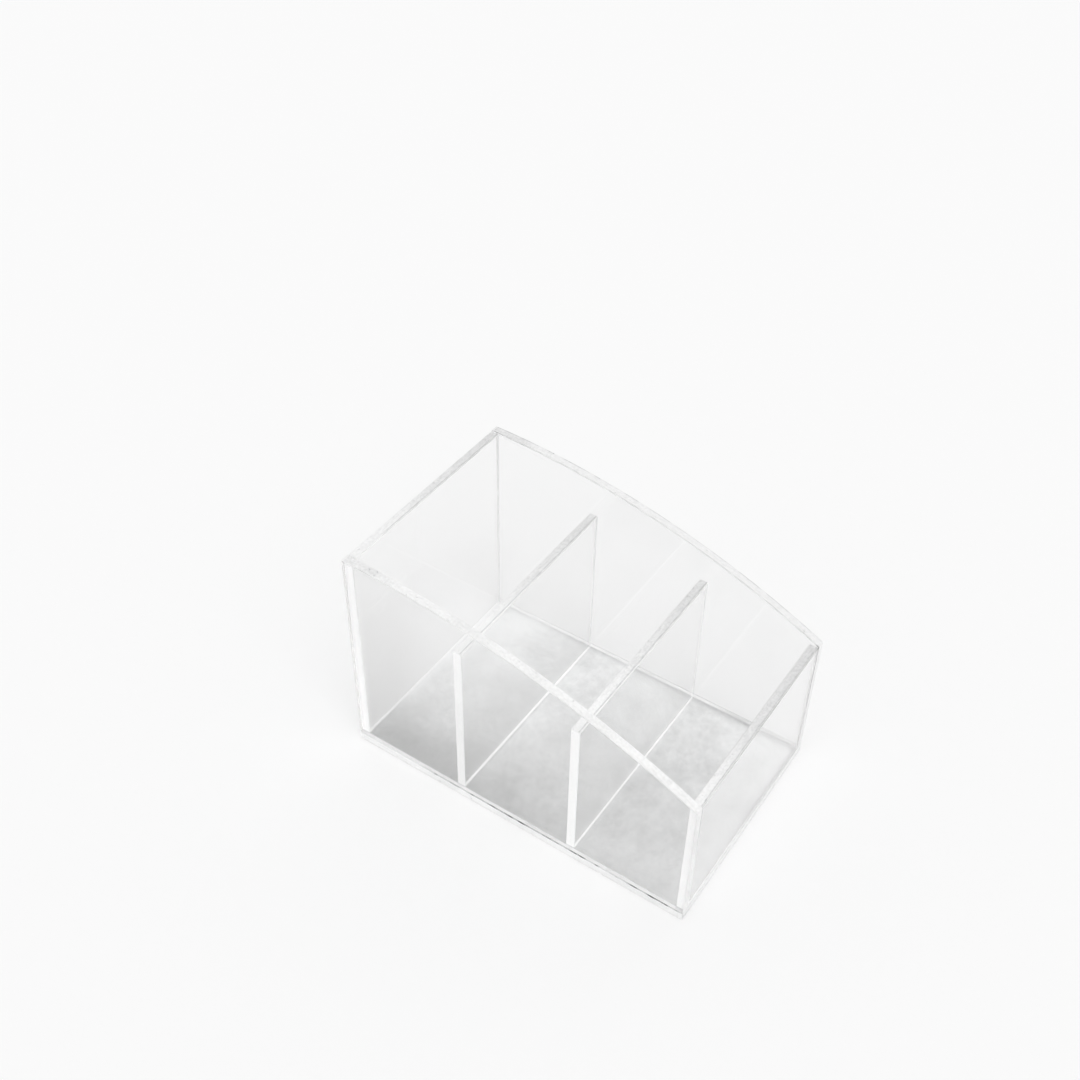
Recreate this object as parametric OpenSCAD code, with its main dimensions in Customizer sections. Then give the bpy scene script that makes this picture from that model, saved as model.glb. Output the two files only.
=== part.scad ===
// Remote control holder: clear acrylic sheets cemented at butt joints into three open
// pockets, one behind another. The side sheets fall in one arc from a tall back to a
// low front. The front faces -Y, the left side is -X, and Z = 0 is the underside, with
// the origin at the middle of the footprint.

/* [Footprint] */
// Overall length from the front sheet's face to the back sheet's face
holder_l = 160; // [130:1:200]
// Overall width across the outer faces of the side sheets
holder_w = 103; // [70:1:150]

/* [Sheets] */
// Thickness of the acrylic sheet that every piece is cut from
sheet_t = 4; // [2:0.5:6]

/* [Heights above the table] */
// Top of the back sheet, where the side sheets are tallest
back_h = 105; // [95:1:140]
// Top of the front sheet, where the side sheets end
front_h = 67; // [40:1:85]
// Top of the rear divider
rear_divider_h = 84; // [50:1:90]
// Top of the front divider
front_divider_h = 75; // [40:1:80]

/* [Pockets] */
// Clear depth of the rear pocket, front to back
rear_pocket_l = 47; // [25:1:50]
// Clear depth of the front pocket, front to back
front_pocket_l = 47; // [25:1:50]

/* [Hidden] */

// The outer faces of the footprint
front_y = -holder_l / 2;
back_y = holder_l / 2;
left_x = -holder_w / 2;
right_x = holder_w / 2;

// Cross sheets fit between the side sheets and stand on the base sheet
inner_w = holder_w - 2 * sheet_t;
rear_divider_y = back_y - 2 * sheet_t - rear_pocket_l;
front_divider_y = front_y + sheet_t + front_pocket_l;

// The side sheets' top edge is one arc: it starts level at the back corner and passes
// through the front corner
side_drop = back_h - front_h;
arc_r = (pow(holder_l, 2) + pow(side_drop, 2)) / (2 * side_drop);
arc_fn = 720;

acrylic = [0.90, 0.94, 0.95, 0.45];

// Outline of a side sheet, from the front corner at 0 along the length, its foot at 0
module side_outline() {
    intersection() {
        square([holder_l, back_h - sheet_t]);
        translate([holder_l, back_h - sheet_t - arc_r])
            circle(r = arc_r, $fn = arc_fn);
    }
}

// A side sheet whose outer or inner face starts at x and runs towards +X
module side_sheet(x) {
    translate([x, front_y, sheet_t])
        rotate([90, 0, 90])
            linear_extrude(height = sheet_t)
                side_outline();
}

// A cross sheet with its front face at y, its foot on the base sheet and its top at top_h
module cross_sheet(y, top_h) {
    translate([-inner_w / 2, y, sheet_t])
        cube([inner_w, sheet_t, top_h - sheet_t]);
}

module base_sheet() {
    color(acrylic)
        translate([left_x, front_y, 0])
            cube([holder_w, holder_l, sheet_t]);
}

module left_side_sheet() {
    color(acrylic) side_sheet(left_x);
}

module right_side_sheet() {
    color(acrylic) side_sheet(right_x - sheet_t);
}

module back_sheet() {
    color(acrylic) cross_sheet(back_y - sheet_t, back_h);
}

module front_sheet() {
    color(acrylic) cross_sheet(front_y, front_h);
}

module rear_divider() {
    color(acrylic) cross_sheet(rear_divider_y, rear_divider_h);
}

module front_divider() {
    color(acrylic) cross_sheet(front_divider_y, front_divider_h);
}

base_sheet();
left_side_sheet();
right_side_sheet();
back_sheet();
front_sheet();
rear_divider();
front_divider();
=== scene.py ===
"""Looks of the clear acrylic remote control holder: polished sheets with sawn, frosted edges."""
import math

import bpy
from mathutils import Matrix, Vector


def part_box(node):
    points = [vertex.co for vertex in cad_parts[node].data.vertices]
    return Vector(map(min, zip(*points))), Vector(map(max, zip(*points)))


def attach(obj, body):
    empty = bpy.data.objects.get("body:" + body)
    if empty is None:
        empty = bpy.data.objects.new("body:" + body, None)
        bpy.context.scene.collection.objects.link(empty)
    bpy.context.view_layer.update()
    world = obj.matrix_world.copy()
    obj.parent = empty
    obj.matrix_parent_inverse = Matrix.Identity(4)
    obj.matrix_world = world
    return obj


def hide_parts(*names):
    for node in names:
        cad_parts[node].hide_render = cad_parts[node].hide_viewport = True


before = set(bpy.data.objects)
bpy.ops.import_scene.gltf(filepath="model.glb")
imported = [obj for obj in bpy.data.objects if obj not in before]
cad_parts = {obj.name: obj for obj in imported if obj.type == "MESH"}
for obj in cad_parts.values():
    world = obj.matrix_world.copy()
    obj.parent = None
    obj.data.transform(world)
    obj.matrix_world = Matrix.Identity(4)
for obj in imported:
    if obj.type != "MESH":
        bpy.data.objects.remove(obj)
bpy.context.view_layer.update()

MM = 0.001
SHEET_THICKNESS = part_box("base_sheet")[1].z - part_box("base_sheet")[0].z

# Camera, at the photograph's angle
CAMERA_PLACE = Vector((-332.0, -196.1, 468.1)) * MM
CAMERA_AZIMUTH = math.radians(-56.6)
CAMERA_ELEVATION = math.radians(42.24)
CAMERA_ROLL = math.radians(-1.0)
LENS = 46.1
SENSOR = 36.0
NEAREST_SEEN = 0.01
FARTHEST_SEEN = 100.0

# Light: the sky's two stops say how far up they lie and how light they are
HORIZON = (0.15, 0.957)
CEILING = (0.60, 0.865)
KEY_STRENGTH = 0.53
KEY_SOFTNESS = math.radians(40)
KEY_AZIMUTH = math.radians(-40)
KEY_ELEVATION = math.radians(52)
GLASS_BOUNCES = 128
DIFFUSE_BOUNCES = 32

# Floor
FLOOR_COLOUR = (0.947, 0.947, 0.947, 1.0)
FLOOR_REACH = 8.0
FLOOR_SIDES = 96
FLOOR_DROP = 0.02 * MM

# Acrylic sheets
ARRIS = 0.22 * MM
JOINT_FILM = 0.04 * MM
ARC_STEPS = 1440
SHARP_EDGE = math.radians(30)
ACRYLIC_IOR = 1.49

# Which way a face looks: how much of its normal lies along an axis
SQUARE_ON = 0.99
EDGE_ON = 0.01
CUT_EDGE = 0.85
SLOPING = 0.30

# Finishes
WHITE = (1.0, 1.0, 1.0, 1.0)
BLACK = (0.0, 0.0, 0.0, 1.0)
UNDERSIDE_TINT = (0.995, 1.0, 1.0, 1.0)
PAINTED_EDGE_GLOW = 0.30
STREAK_WIDTH = 0.35 * MM
STREAK_LENGTH = 5.0 * MM
SCORE_PLACE = -0.32
SCORE_WIDTH = 0.11

SHEETS = {
    "base_sheet": "base_acrylic",
    "left_side_sheet": "left_side_acrylic",
    "right_side_sheet": "right_side_acrylic",
    "back_sheet": "back_acrylic",
    "front_sheet": "front_acrylic",
    "rear_divider": "rear_divider_acrylic",
    "front_divider": "front_divider_acrylic",
}


class Field:
    """A node's output in one tree. Python's own operators add to it, subtract and multiply."""

    def __init__(self, tree, socket=None):
        self.tree = tree
        self.socket = socket

    def node(self, kind, settings=None, inputs=None, output=0):
        """Adds a node: first its settings, then the values or links of its sockets."""
        made = self.tree.nodes.new(kind)
        for key, value in (settings or {}).items():
            if key == "stops":
                self.set_stops(made.color_ramp, value)
            else:
                setattr(made, key, value)
        for key, value in (inputs or {}).items():
            if isinstance(value, Field):
                self.tree.links.new(value.socket, made.inputs[key])
            else:
                made.inputs[key].default_value = value
        return Field(self.tree, made.outputs[output] if made.outputs else None)

    @staticmethod
    def set_stops(ramp, stops):
        while len(ramp.elements) < len(stops):
            ramp.elements.new(1.0)
        for element, (place, level) in zip(ramp.elements, stops):
            element.position = place
            element.color = (level, level, level, 1.0)

    def maths(self, operation, first, second):
        return self.node("ShaderNodeMath", {"operation": operation}, {0: first, 1: second})

    def __add__(self, other):
        return self.maths("ADD", self, other)

    __radd__ = __add__

    def __sub__(self, other):
        return self.maths("SUBTRACT", self, other)

    def __rsub__(self, other):
        return self.maths("SUBTRACT", other, self)

    def __mul__(self, other):
        return self.maths("MULTIPLY", self, other)

    __rmul__ = __mul__

    def size(self):
        """The value without its sign."""
        return self.node("ShaderNodeMath", {"operation": "ABSOLUTE"}, {0: self})

    def rise(self, start, end):
        """0 at start, 1 at end and smooth between, also where end is the lower."""
        return self.node(
            "ShaderNodeMapRange",
            {"interpolation_type": "SMOOTHSTEP"},
            {"Value": self, "From Min": start, "From Max": end},
        )

    def ramp(self, *stops):
        """The level at this value, from stops that each give a value and a level."""
        return self.node("ShaderNodeValToRGB", {"stops": stops}, {"Fac": self})

    def split(self):
        """The three coordinates of a place."""
        return [self.node("ShaderNodeSeparateXYZ", inputs={0: self}, output=axis) for axis in "XYZ"]

    def noise(self, size, detail, roughness=0.5):
        """Noise from 0 to 1 over a place, in lumps about size across."""
        return self.node(
            "ShaderNodeTexNoise",
            inputs={"Vector": self, "Scale": 1.0 / size, "Detail": detail, "Roughness": roughness},
        )

    def shades(self, colour=WHITE):
        """A colour taken down towards black by this darkness, from 0 to 1."""
        return self.node(
            "ShaderNodeMix",
            {"data_type": "RGBA"},
            {"Factor": self, "A": colour, "B": BLACK},
            output="Result",
        )

    def bump(self, distance, strength):
        """The normals of a surface with this height."""
        return self.node(
            "ShaderNodeBump", inputs={"Height": self, "Distance": distance, "Strength": strength}
        )


def new_material(name):
    """An empty node material and the field that its nodes start from."""
    material = bpy.data.materials.new(name)
    material.use_nodes = True
    material.node_tree.nodes.clear()
    return material, Field(material.node_tree)


def new_finish(name):
    """An empty material and the place on the object, which its patterns read."""
    material, field = new_material(name)
    return material, field.node("ShaderNodeTexCoord", output="Object")


def finished(material, inputs):
    """Ends a material in one acrylic surface with these inputs."""
    field = Field(material.node_tree)
    surface = field.node("ShaderNodeBsdfPrincipled", inputs={"IOR": ACRYLIC_IOR, **inputs})
    field.node("ShaderNodeOutputMaterial", inputs={"Surface": surface})
    return material


def across_sheet(place):
    """How far through the sheet's thickness a point lies, from -0.5 to 0.5."""
    return place.node("ShaderNodeAttribute", {"attribute_name": "across"}, output="Fac")


def slow_waves(place):
    """The slow waves that polished sheet has."""
    return place.noise(20 * MM, 1.0).bump(0.2 * MM, 0.05)


def clear_face():
    """The polished faces: near clear, with a faint grey cast and soft smudges."""
    material, place = new_finish("clear_face")
    cloud = place.noise(45 * MM, 2.0)
    smudge = place.noise(18 * MM, 4.0, 0.6).ramp((0.45, 0.0), (0.75, 1.0))
    return finished(material, {
        "Base Color": (0.015 + cloud * 0.03).shades(),
        "Roughness": 0.01 + smudge * 0.04,
        "Transmission Weight": 1.0,
        "Normal": slow_waves(place),
    })


def haze_and_shade_face():
    """The near side sheet's faces: a faint random grey cloud, and painted shade towards the foot
    and the rear.
    """
    material, place = new_finish("haze_and_shade_face")
    _, y, z = place.split()
    foot = z.rise(100 * MM, 12 * MM)
    rear = 0.38 + y.rise(-60 * MM, 60 * MM) * 0.62
    rear_film = y.rise(30 * MM, 60 * MM)
    inside_rim = y.rise(77 * MM, 73 * MM)
    cloud = place.noise(30 * MM, 3.0, 0.6)
    smudge = place.noise(14 * MM, 4.0, 0.6).ramp((0.40, 0.0), (0.75, 1.0))
    # painted shade: darker towards the foot and the rear inside the rim, for the shade on what is
    # seen through the sheet; the cloud is the sheet's own grey
    haze_and_painted_shade = 0.02 + cloud * 0.03 + inside_rim * (rear_film * 0.045 + foot * rear * 0.13)
    return finished(material, {
        "Base Color": haze_and_painted_shade.shades(),
        "Roughness": 0.01 + smudge * 0.05,
        "Transmission Weight": 1.0,
        "Normal": slow_waves(place),
    })


def scuffed_and_shaded_face():
    """The base sheet's underside: scuffed in a random mottle, under a painted shade that is darkest
    at the rear and the near side, with painted light in a few patches.
    """
    material, place = new_finish("scuffed_and_shaded_underside")
    x, y, _ = place.split()
    front = y.rise(30 * MM, -75 * MM)
    ahead = y.rise(-15 * MM, -35 * MM)
    inner = x.rise(-50 * MM, -10 * MM)
    far = x.rise(-5 * MM, 45 * MM)
    back_foot = y.rise(70 * MM, 78 * MM)
    divider_foot = y.rise(6 * MM, 24 * MM) * y.rise(26 * MM, 24.5 * MM)
    painted_lit_patch = x.rise(-42 * MM, -22 * MM) * y.rise(30 * MM, 60 * MM)
    far_front = x.rise(10 * MM, 45 * MM) * y.rise(-40 * MM, -60 * MM)
    cloud = place.noise(14 * MM, 3.0, 0.6).ramp((0.3, 0.0), (0.7, 1.0))
    mottle = place.noise(3 * MM, 3.0, 0.6)
    # painted shade: the grey, darker to the rear and the near side, stands for shade on the floor
    # seen through the base; mottle and cloud are scuffs
    scuffs_and_painted_shade = 0.28 + mottle * 0.32 - cloud * 0.16
    scuffs_and_painted_shade = scuffs_and_painted_shade - front * 0.20 - far * 0.07 - inner * (0.13 - ahead * 0.18)
    # painted light: lighter before the back sheet's and a divider's feet, in a patch at the rear,
    # and at the far front
    scuffs_and_painted_shade = scuffs_and_painted_shade - back_foot * 0.08 - divider_foot * (inner - far) * 0.14
    scuffs_and_painted_shade = scuffs_and_painted_shade - painted_lit_patch * 0.14 - far_front * 0.08
    return finished(material, {
        "Base Color": scuffs_and_painted_shade.shades(UNDERSIDE_TINT),
        "Roughness": 0.05 + cloud * 0.15,
        "Transmission Weight": 1.0,
        "Normal": place.noise(1.5 * MM, 3.0, 0.7).bump(0.05 * MM, 0.3),
    })


def arris_face():
    """The fine chamfer round each sheet: clear, and a little scraped."""
    material, place = new_finish("scraped_arris")
    x, y, z = place.split()
    scrape = place.noise(1.2 * MM, 2.0)
    stretch = place.noise(10 * MM, 2.0).ramp((0.40, 0.0), (0.60, 1.0))
    table_rim = z.rise(0.6 * MM, 0.2 * MM)
    far_corner = x.rise(40 * MM, 48 * MM) * y.rise(-78 * MM, -79.5 * MM)
    painted_post_reflection = far_corner * z.rise(10 * MM, 40 * MM)
    # darker in stretches along the bottom rim at the table; a painted dark reflection on the far
    # front corner post
    greyness = 0.14 - scrape * 0.10 + table_rim * (0.05 + stretch * 0.25) + painted_post_reflection * 0.75
    return finished(material, {
        "Base Color": greyness.shades(),
        "Roughness": 0.30 + scrape * 0.10,
        "Transmission Weight": 1.0,
        "Normal": scrape.bump(0.02 * MM, 0.2),
    })


def dried_cement(place, y):
    """How dark the near joint's cement has dried: in crumbling stretches, with voids."""
    stretch = place.noise(14 * MM, 2.0).ramp((0.42, 0.15), (0.54, 1.0))
    crumbs = place.noise(2.4 * MM, 2.0).ramp((0.42, 0.30), (0.60, 1.0))
    void = place.noise(4.5 * MM, 2.0).ramp((0.60, 0.0), (0.63, 1.0))
    middle = y.rise(50 * MM, 25 * MM) * y.rise(-79.5 * MM, -77 * MM)
    return (stretch * crumbs * 0.8 + void) * middle


def near_outside(x):
    """1 at the outer face of the left side sheet, where its joint is seen, and 0 inside it."""
    return x.rise(-50.5 * MM, -51.2 * MM)


def front_end(y):
    """1 at the front ends of the base sheet and the side sheets, and 0 behind them."""
    return y.rise(-79.3 * MM, -79.8 * MM)


def glue_line():
    """The groove of the joint round the base: grey, and dark where cement has dried in it."""
    material, place = new_finish("glue_line")
    x, y, _ = place.split()
    paler = y.rise(30 * MM, 60 * MM) + front_end(y)
    greyness = 0.22 - paler * 0.14 + dried_cement(place, y) * near_outside(x)
    return finished(material, {
        "Base Color": greyness.shades(),
        "Roughness": 0.25,
        "Transmission Weight": 0.2,
    })


def saw_marks(place, across):
    """A cut edge's streaks along it, its frosted grain, and the grit in a few pits."""
    x, y, z = place.split()
    lane = place.node("ShaderNodeCombineXYZ", inputs={
        0: across * (SHEET_THICKNESS / STREAK_WIDTH),
        1: (x + y + z) * (1.0 / STREAK_LENGTH),
        2: 0.0,
    })
    streak = lane.noise(1.0, 3.0, 0.6).ramp((0.3, 0.0), (0.7, 1.0))
    grain = place.noise(0.9 * MM, 2.0, 0.6).ramp((0.35, 0.0), (0.65, 1.0))
    pits = place.noise(2 * MM, 2.0, 0.55).ramp((0.25, 1.0), (0.30, 0.0))
    return streak, grain, pits


def frosted(material, darkness, streak, grain):
    """Ends a cut edge's material: frosted, with hardly any light coming through."""
    return finished(material, {
        "Base Color": darkness.shades(),
        "Roughness": 0.5 + grain * 0.2,
        "Transmission Weight": 0.15,
        "Normal": (streak + grain * 0.5).bump(0.08 * MM, 0.5),
    })


def sawn_edge():
    """A cut edge: white, greyer to the right, and dirty at its joint; with painted shade on its
    near front ends and near the rear corner, and painted light on its rear ends.
    """
    material, place = new_finish("sawn_edge")
    x, y, z = place.split()
    across = across_sheet(place)
    streak, grain, pits = saw_marks(place, across)
    far = x.rise(-45 * MM, 5 * MM)
    near = 1.0 - far
    low = z.rise(4.5 * MM, 4.1 * MM)
    at_front = front_end(y)
    border = across.size().rise(0.30, 0.42)
    broken = place.noise(6 * MM, 2.0).ramp((0.42, 0.0), (0.58, 1.0))
    worn = place.noise(20 * MM, 2.0).ramp((0.45, 0.0), (0.60, 1.0))
    painted_front_shade = y.rise(-78.5 * MM, -79.5 * MM)
    painted_corner_shade = y.rise(58 * MM, 66 * MM) * z.rise(101 * MM, 103 * MM)
    painted_rear_light = y.rise(79 * MM, 79.8 * MM)
    low_near = low * near_outside(x)
    squeezed = low_near * across.rise(0.30, 0.42) * dried_cement(place, y)
    darkness = grain * 0.12 + streak * 0.12 + pits * 0.35 - 0.06
    # random worn patches on the near side, and painted shade on the near front ends
    darkness = darkness + near * (worn * 0.07 + painted_front_shade * 0.04)
    darkness = darkness + far * (0.07 + low * (0.08 - at_front * 0.12))
    darkness = darkness + far * border * (0.08 + broken * 0.22) * (1.0 - at_front)
    # painted shade near the rear corner of the tops; painted light on the rear ends
    darkness = darkness + painted_corner_shade * 0.10 - painted_rear_light * 0.14
    # dark cement squeezed from the near joint; painted light low on the near outside
    darkness = darkness + squeezed * 0.8 - low_near * 0.05
    return frosted(material, darkness, streak, grain)


def scored_edge():
    """The cross sheets' tops: sawn, with a scored line near the front border."""
    material, place = new_finish("scored_edge")
    x, y, _ = place.split()
    across = across_sheet(place)
    streak, grain, pits = saw_marks(place, across)
    far = x.rise(-45 * MM, 5 * MM)
    farthest = x.rise(0.0, 40 * MM)
    painted_corner_shade = y.rise(70 * MM, 76 * MM) * x.rise(-20 * MM, -36 * MM)
    groove = (across - SCORE_PLACE).size().rise(SCORE_WIDTH, SCORE_WIDTH * 0.4)
    scored = groove * (1.0 - painted_corner_shade) * (1.0 - far * 0.5)
    darkness = grain * (0.10 + far * 0.04) + streak * 0.10 + pits * 0.20 - 0.04
    # greyer to the right, and painted shade near the rear-left corner
    darkness = darkness + far * 0.13 + farthest * 0.06 + painted_corner_shade * 0.05
    darkness = darkness + scored * (0.14 + streak * 0.18)
    return frosted(material, darkness, streak, grain)


def rear_end():
    """The side sheets' rear ends: cut finer than the rest, so that light comes through them."""
    material, place = new_finish("rear_end")
    grain = place.noise(0.9 * MM, 2.0, 0.6)
    return finished(material, {
        "Base Color": (grain * 0.08).shades(),
        "Roughness": 0.35 + grain * 0.2,
        "Transmission Weight": 0.7,
        "Normal": grain.bump(0.08 * MM, 0.4),
    })


def cemented_edge():
    """An edge cemented to another sheet: white, and glowing with painted light for what the sheet
    carries to it.
    """
    material, place = new_finish("cemented_edge")
    x, y, z = place.split()
    low = z.rise(70 * MM, 10 * MM)
    rear = y.rise(70 * MM, 75 * MM)
    foot = z.rise(4.3 * MM, 4.1 * MM)
    near = x.rise(-47.5 * MM, -47.8 * MM)
    far = x.rise(20 * MM, 48 * MM) * (1.0 - foot * 0.7)
    dull_foot = foot * x.rise(-20 * MM, 20 * MM) * y.rise(-30 * MM, -60 * MM)
    front_foot = foot * y.rise(-75.5 * MM, -76.5 * MM)
    blush = place.noise(10 * MM, 3.0, 0.6).ramp((0.35, 0.0), (0.65, 1.0))
    bubbles = place.noise(1.4 * MM, 2.0).ramp((0.28, 1.0), (0.34, 0.0))
    darkness = blush * (0.03 + near * 0.12) + bubbles * 0.15
    darkness = darkness + far * 0.12 + dull_foot * 0.10 + front_foot * 0.06
    # painted light: a glow for the light that the sheet pipes to this edge, brighter low down and
    # at the feet, dimmer on the near side, the far side and the front feet
    dimming = 0.75 + near * 0.50 + far - low * (0.28 - rear * 0.18) - foot * 0.36
    dimming = dimming + dull_foot * 0.5 + front_foot * 0.3
    return finished(material, {
        "Base Color": darkness.shades(),
        "Roughness": 0.6,
        "Transmission Weight": 0.15,
        "Emission Color": dimming.shades(),
        "Emission Strength": PAINTED_EDGE_GLOW,
        "Normal": blush.bump(0.1 * MM, 0.4),
    })


def select_only(piece):
    bpy.ops.object.select_all(action="DESELECT")
    piece.select_set(True)
    bpy.context.view_layer.objects.active = piece


def block(name, low, high):
    """A closed block between two corners, with its place in its mesh."""
    bpy.ops.object.select_all(action="DESELECT")
    bpy.ops.mesh.primitive_cube_add(size=1, location=(low + high) / 2, scale=high - low)
    bpy.ops.object.transform_apply(location=True, rotation=True, scale=True)
    piece = bpy.context.object
    piece.name = name
    piece.data.name = name
    return piece


def cut_arc(piece, centre, radius, width):
    """Keeps what lies inside a round bar along X: the arc of a side sheet's top edge."""
    bpy.ops.object.select_all(action="DESELECT")
    bpy.ops.mesh.primitive_cylinder_add(
        vertices=ARC_STEPS, radius=radius, depth=width, location=centre,
        rotation=(0, math.pi / 2, 0),
    )
    bar = bpy.context.object
    select_only(piece)
    cut = piece.modifiers.new("arc", "BOOLEAN")
    cut.operation = "INTERSECT"
    cut.object = bar
    bpy.ops.object.modifier_apply(modifier=cut.name)
    bpy.data.objects.remove(bar)


def chamfer(piece):
    """A fine chamfer on every sharp edge."""
    select_only(piece)
    bpy.ops.object.mode_set(mode="EDIT")
    bpy.ops.mesh.select_mode(type="EDGE")
    bpy.ops.mesh.select_all(action="DESELECT")
    bpy.ops.mesh.edges_select_sharp(sharpness=SHARP_EDGE)
    bpy.ops.mesh.bevel(offset=ARRIS, segments=1, affect="EDGES")
    bpy.ops.object.mode_set(mode="OBJECT")


def mark_across(piece, thin_axis):
    """Writes on each point how far through the sheet it lies, for the patterns on cut edges."""
    places = [vertex.co[thin_axis] for vertex in piece.data.vertices]
    middle, thickness = (min(places) + max(places)) / 2, max(places) - min(places)
    across = piece.data.attributes.new("across", "FLOAT", "POINT")
    across.data.foreach_set("value", [(place - middle) / thickness for place in places])


def finish_of(face, thin_axis):
    """The finish of one face, from which way it looks and how high it lies."""
    normal = face.normal
    if abs(normal[thin_axis]) > SQUARE_ON:
        if thin_axis == 2 and normal.z < 0:
            return "underside"
        return "hazy_and_shaded" if thin_axis == 0 and face.center.x < 0 else "clear"
    if abs(normal[thin_axis]) < EDGE_ON and max(abs(part) for part in normal) > CUT_EDGE:
        stands_on_base = thin_axis < 2 and normal.z < -SQUARE_ON
        meets_side_sheet = thin_axis == 1 and abs(normal.x) > SQUARE_ON
        if stands_on_base or meets_side_sheet:
            return "cemented"
        if thin_axis == 0 and normal.y > SQUARE_ON:
            return "rear_end"
        return "scored" if thin_axis == 1 else "sawn"
    at_joint = abs(face.center.z - SHEET_THICKNESS) < 2 * ARRIS
    return "glue" if at_joint and abs(normal.z) > SLOPING else "arris"


def finish_faces(piece, thin_axis, finishes):
    """Gives every face of a sheet its finish."""
    names = list(finishes)
    for material in finishes.values():
        piece.data.materials.append(material)
    for face in piece.data.polygons:
        face.material_index = names.index(finish_of(face, thin_axis))


def sheet_piece(node, finishes):
    """One acrylic sheet in place of its solid, a hair clear of the sheets it is cemented to."""
    low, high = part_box(node)
    size = high - low
    thin_axis = min(range(3), key=lambda axis: size[axis])
    if node != "base_sheet":
        low.z += JOINT_FILM
    if thin_axis == 1:
        low.x += JOINT_FILM
        high.x -= JOINT_FILM
    piece = block(SHEETS[node], low, high)
    if thin_axis == 0:
        front_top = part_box("front_sheet")[1].z
        drop = high.z - front_top
        radius = (size.y ** 2 + drop ** 2) / (2 * drop)
        centre = Vector(((low.x + high.x) / 2, high.y, high.z - radius))
        cut_arc(piece, centre, radius, size.x * 3)
    chamfer(piece)
    mark_across(piece, thin_axis)
    finish_faces(piece, thin_axis, finishes)
    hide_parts(node)
    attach(piece, "root")


def away_from(azimuth, elevation):
    """The way out from the object at an azimuth and an elevation; azimuth 0 is the front."""
    level = math.cos(elevation)
    return Vector((math.sin(azimuth) * level, -math.cos(azimuth) * level, math.sin(elevation)))


def build_floor():
    """A plain pale floor."""
    bpy.ops.object.select_all(action="DESELECT")
    bpy.ops.mesh.primitive_circle_add(
        vertices=FLOOR_SIDES, radius=FLOOR_REACH, fill_type="NGON", location=(0, 0, -FLOOR_DROP)
    )
    floor = bpy.context.object
    floor.name = "floor"
    material, field = new_material("pale_floor")
    surface = field.node("ShaderNodeBsdfDiffuse", inputs={"Color": FLOOR_COLOUR})
    field.node("ShaderNodeOutputMaterial", inputs={"Surface": surface})
    floor.data.materials.append(material)


def build_world():
    """White low down, as the floor is, and a little greyer overhead."""
    world = bpy.data.worlds.new("studio")
    bpy.context.scene.world = world
    world.use_nodes = True
    world.node_tree.nodes.clear()
    field = Field(world.node_tree)
    direction = field.node("ShaderNodeTexCoord", output="Generated")
    up = field.node("ShaderNodeSeparateXYZ", inputs={0: direction}, output="Z")
    light = field.node(
        "ShaderNodeBackground", inputs={"Color": up.ramp(HORIZON, CEILING), "Strength": 1.0}
    )
    field.node("ShaderNodeOutputWorld", inputs={"Surface": light})


def build_key():
    """One broad soft key from above the front."""
    key = bpy.data.lights.new("key", "SUN")
    key.energy = KEY_STRENGTH
    key.angle = KEY_SOFTNESS
    lamp = bpy.data.objects.new("key", key)
    bpy.context.scene.collection.objects.link(lamp)
    beam = -away_from(KEY_AZIMUTH, KEY_ELEVATION)
    lamp.rotation_euler = beam.to_track_quat("-Z", "Y").to_euler()


def build_camera():
    """The photograph's own viewpoint."""
    data = bpy.data.cameras.new("camera")
    data.lens = LENS
    data.sensor_width = SENSOR
    data.clip_start = NEAREST_SEEN
    data.clip_end = FARTHEST_SEEN
    camera = bpy.data.objects.new("camera", data)
    bpy.context.scene.collection.objects.link(camera)
    forward = -away_from(CAMERA_AZIMUTH, CAMERA_ELEVATION)
    aim = forward.to_track_quat("-Z", "Y").to_matrix().to_4x4()
    turn = Matrix.Rotation(CAMERA_ROLL, 4, forward)
    camera.matrix_world = Matrix.Translation(CAMERA_PLACE) @ turn @ aim
    bpy.context.scene.camera = camera


def set_light_paths():
    """Enough bounces for a ray to cross every sheet and to run along inside one."""
    cycles = bpy.context.scene.cycles
    cycles.max_bounces = GLASS_BOUNCES
    cycles.transmission_bounces = GLASS_BOUNCES
    cycles.glossy_bounces = GLASS_BOUNCES
    cycles.diffuse_bounces = DIFFUSE_BOUNCES
    cycles.blur_glossy = 0.0


finishes = {
    "clear": clear_face(),
    "hazy_and_shaded": haze_and_shade_face(),
    "underside": scuffed_and_shaded_face(),
    "arris": arris_face(),
    "glue": glue_line(),
    "sawn": sawn_edge(),
    "rear_end": rear_end(),
    "scored": scored_edge(),
    "cemented": cemented_edge(),
}
for sheet in SHEETS:
    sheet_piece(sheet, finishes)
build_floor()
build_world()
build_key()
build_camera()
set_light_paths()
bpy.context.scene.view_settings.view_transform = "Standard"
